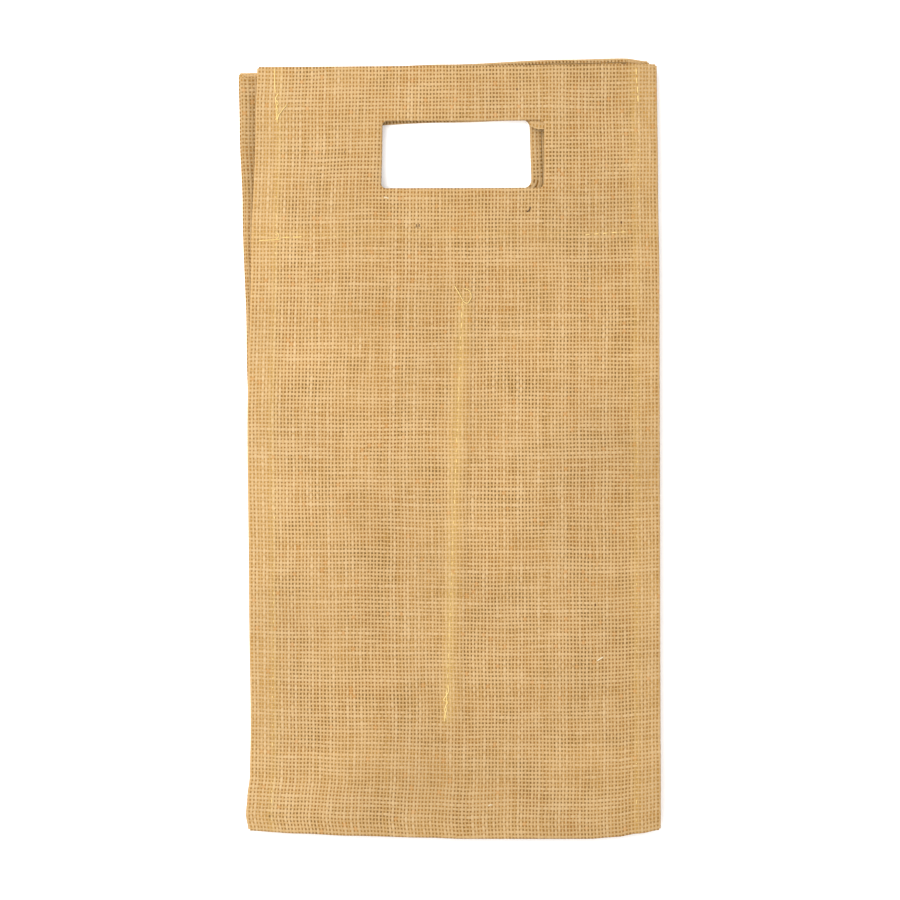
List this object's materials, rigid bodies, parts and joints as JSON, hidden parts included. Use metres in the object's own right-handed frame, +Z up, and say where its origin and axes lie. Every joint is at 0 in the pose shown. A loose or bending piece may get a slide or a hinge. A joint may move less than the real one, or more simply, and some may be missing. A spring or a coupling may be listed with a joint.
{
  "type": "two-bottle wine gift bag",
  "caption": "Hessian gift bag for wine bottles, folded flat, with a cut-out hand hole, pleated side gussets, a tucked base and a sewn divider; it opens to a square-bottomed carrier.",
  "frame": {"origin": "under the middle of the folded bag, on the table that it lies on, back down", "axes": "+X across the bag to the right as seen from the front, +Y from the bottom fold to the mouth, +Z up, out of the front"},
  "size_m": [0.2, 0.378, 0.0069],
  "materials": {
    "hessian": "matte",
    "hessian_gusset": "matte",
    "hessian_inside": "matte",
    "thread": "matte"
  },
  "bodies": {
    "back": {"back_panel": "hessian", "back_facing": "hessian_inside", "back_hole_turning": "hessian", "back_seam_allowances": "hessian_inside", "back_side_seam_stitches": "thread", "back_divider_flange": "hessian_inside", "back_middle_seam_stitches": "thread", "back_facing_tacks": "thread", "back_corner_tacks": "thread"},
    "left_gusset_back": {"left_gusset_back": "hessian_gusset"},
    "left_gusset_front": {"left_gusset_front": "hessian_gusset"},
    "front": {"front_panel": "hessian", "front_facing": "hessian_inside", "front_hole_turning": "hessian", "front_seam_allowances": "hessian_inside", "front_side_seam_stitches": "thread", "front_divider_flange": "hessian_inside", "front_middle_seam_stitches": "thread", "front_facing_tacks": "thread", "front_corner_tacks": "thread", "front_thread_loop": "thread"},
    "right_gusset_back": {"right_gusset_back": "hessian_gusset"},
    "right_gusset_front": {"right_gusset_front": "hessian_gusset"},
    "base_back": {"base_back": "hessian_gusset"},
    "base_front": {"base_front": "hessian_gusset"},
    "divider_back": {"divider_back": "hessian_inside"},
    "divider_front": {"divider_front": "hessian_inside"}
  },
  "joints": [
    {"name": "bag_opening", "type": "hinge", "parent": "back", "child": "left_gusset_back", "pos_m": [-0.1, 0, 0.0031], "axis": [0, -1, 0], "range_deg": [0, 90]},
    {"name": "left_gusset_crease", "type": "hinge", "parent": "left_gusset_back", "child": "left_gusset_front", "pos_m": [-0.055, 0, 0.0032], "axis": [0, 1, 0], "range_deg": [0, 180]},
    {"name": "left_front_seam", "type": "hinge", "parent": "left_gusset_front", "child": "front", "pos_m": [-0.1, 0, 0.0033], "axis": [0, -1, 0], "range_deg": [0, 90]},
    {"name": "right_back_seam", "type": "hinge", "parent": "back", "child": "right_gusset_back", "pos_m": [0.1, 0, 0.0031], "axis": [0, 1, 0], "range_deg": [0, 90]},
    {"name": "right_front_seam", "type": "hinge", "parent": "front", "child": "right_gusset_front", "pos_m": [0.1, 0, 0.0033], "axis": [0, -1, 0], "range_deg": [0, 90]},
    {"name": "back_base_fold", "type": "hinge", "parent": "back", "child": "base_back", "pos_m": [0, -0.189, 0.002], "axis": [1, 0, 0], "range_deg": [0, 90]},
    {"name": "front_base_fold", "type": "hinge", "parent": "front", "child": "base_front", "pos_m": [0, -0.189, 0.0044], "axis": [-1, 0, 0], "range_deg": [0, 90]},
    {"name": "back_divider_seam", "type": "hinge", "parent": "back", "child": "divider_back", "pos_m": [0, 0, 0.0031], "axis": [0, -1, 0], "range_deg": [0, 90]},
    {"name": "front_divider_seam", "type": "hinge", "parent": "front", "child": "divider_front", "pos_m": [0, 0, 0.0033], "axis": [0, 1, 0], "range_deg": [0, 90]}
  ],
  "couplings": [
    {"joint": "left_gusset_crease", "follows": "bag_opening", "ratio": 2},
    {"joint": "left_front_seam", "follows": "bag_opening", "ratio": 1},
    {"joint": "right_back_seam", "follows": "bag_opening", "ratio": 1},
    {"joint": "right_front_seam", "follows": "bag_opening", "ratio": 1},
    {"joint": "back_base_fold", "follows": "bag_opening", "ratio": 1},
    {"joint": "front_base_fold", "follows": "bag_opening", "ratio": 1},
    {"joint": "back_divider_seam", "follows": "bag_opening", "ratio": 1},
    {"joint": "front_divider_seam", "follows": "bag_opening", "ratio": 1}
  ]
}
